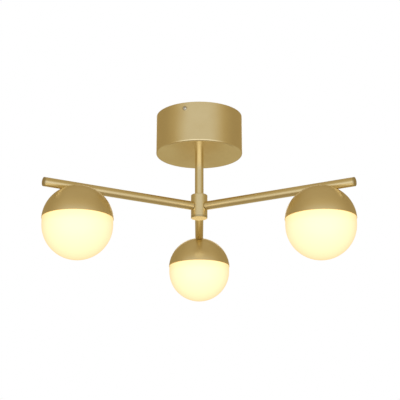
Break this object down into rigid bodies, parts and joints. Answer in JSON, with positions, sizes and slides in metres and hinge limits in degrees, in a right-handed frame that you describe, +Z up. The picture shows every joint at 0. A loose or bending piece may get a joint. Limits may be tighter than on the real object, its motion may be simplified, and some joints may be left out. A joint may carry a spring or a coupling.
{
  "type": "flush mount ceiling light",
  "caption": "Ceiling light with a round canopy, a short rod and level arms that carry globes with a metal cap above and a lit opal bowl below.",
  "frame": {"origin": "centre of the mounting plate on the ceiling plane, on the rod axis", "axes": "+Z up into the ceiling; +Y along arm_1, which points away from the pictured side; the other arms point forward to the left and right"},
  "size_m": [0.4278, 0.3862, 0.2404],
  "materials": {
    "satin_brass": "satin, finely brushed, pale gold",
    "zinc_steel": "zinc plated",
    "bright_screws": "bright nickel plated",
    "spring_steel": "plain spring steel",
    "carrier_aluminium": "milled",
    "white_board": "white solder mask",
    "green_board": "green solder mask",
    "white_plastic": "moulded, fine grain",
    "lead_sheath": "smooth sheath",
    "earth_sheath": "smooth sheath",
    "opal_glass": "satin opal, lit from inside"
  },
  "bodies": {
    "fixture": {"canopy": "satin_brass", "rod": "satin_brass", "hub": "satin_brass", "hub_base": "satin_brass", "arm_1": "satin_brass", "arm_2": "satin_brass", "arm_3": "satin_brass", "arm_end_plugs": "satin_brass", "cap_1": "satin_brass", "cap_2": "satin_brass", "cap_3": "satin_brass", "mounting_plate": "zinc_steel", "rod_nipple_upper": "zinc_steel", "rod_nipple_lower": "zinc_steel", "arm_nipples": "zinc_steel", "globe_nipples": "zinc_steel", "canopy_washer": "zinc_steel", "lock_washer": "zinc_steel", "canopy_nut": "zinc_steel", "globe_nuts": "zinc_steel", "earth_lug": "zinc_steel", "driver_screws": "bright_screws", "earth_screw": "bright_screws", "board_screws": "bright_screws", "clip_screws": "bright_screws", "terminal_screws": "bright_screws", "neck_clips_1": "spring_steel", "neck_clips_2": "spring_steel", "neck_clips_3": "spring_steel", "carrier_plate_1": "carrier_aluminium", "carrier_plate_2": "carrier_aluminium", "carrier_plate_3": "carrier_aluminium", "light_board_1": "white_board", "light_board_2": "white_board", "light_board_3": "white_board", "driver_board": "green_board", "driver_case": "white_plastic", "driver_lid": "white_plastic", "terminal_block": "white_plastic", "lead_joiner": "white_plastic", "board_connector_1": "white_plastic", "board_connector_2": "white_plastic", "board_connector_3": "white_plastic", "supply_lead": "lead_sheath", "output_lead": "lead_sheath", "lamp_lead_1": "lead_sheath", "lamp_lead_2": "lead_sheath", "lamp_lead_3": "lead_sheath", "earth_lead": "earth_sheath"},
    "canopy_screw_1": {"canopy_screw_1": "bright_screws"},
    "canopy_screw_2": {"canopy_screw_2": "bright_screws"},
    "diffuser_1": {"diffuser_1": "opal_glass"},
    "diffuser_2": {"diffuser_2": "opal_glass"},
    "diffuser_3": {"diffuser_3": "opal_glass"}
  },
  "joints": [
    {"name": "canopy_screw_1_out", "type": "slide", "parent": "fixture", "child": "canopy_screw_1", "axis": [-0.3256, -0.9455, 0], "range_m": [0, 0.009]},
    {"name": "canopy_screw_2_out", "type": "slide", "parent": "fixture", "child": "canopy_screw_2", "axis": [0.3256, 0.9455, 0], "range_m": [0, 0.009]},
    {"name": "diffuser_1_drop", "type": "slide", "parent": "fixture", "child": "diffuser_1", "axis": [0, 0, -1], "range_m": [0, 0.07]},
    {"name": "diffuser_2_drop", "type": "slide", "parent": "fixture", "child": "diffuser_2", "axis": [0, 0, -1], "range_m": [0, 0.07]},
    {"name": "diffuser_3_drop", "type": "slide", "parent": "fixture", "child": "diffuser_3", "axis": [0, 0, -1], "range_m": [0, 0.07]}
  ]
}
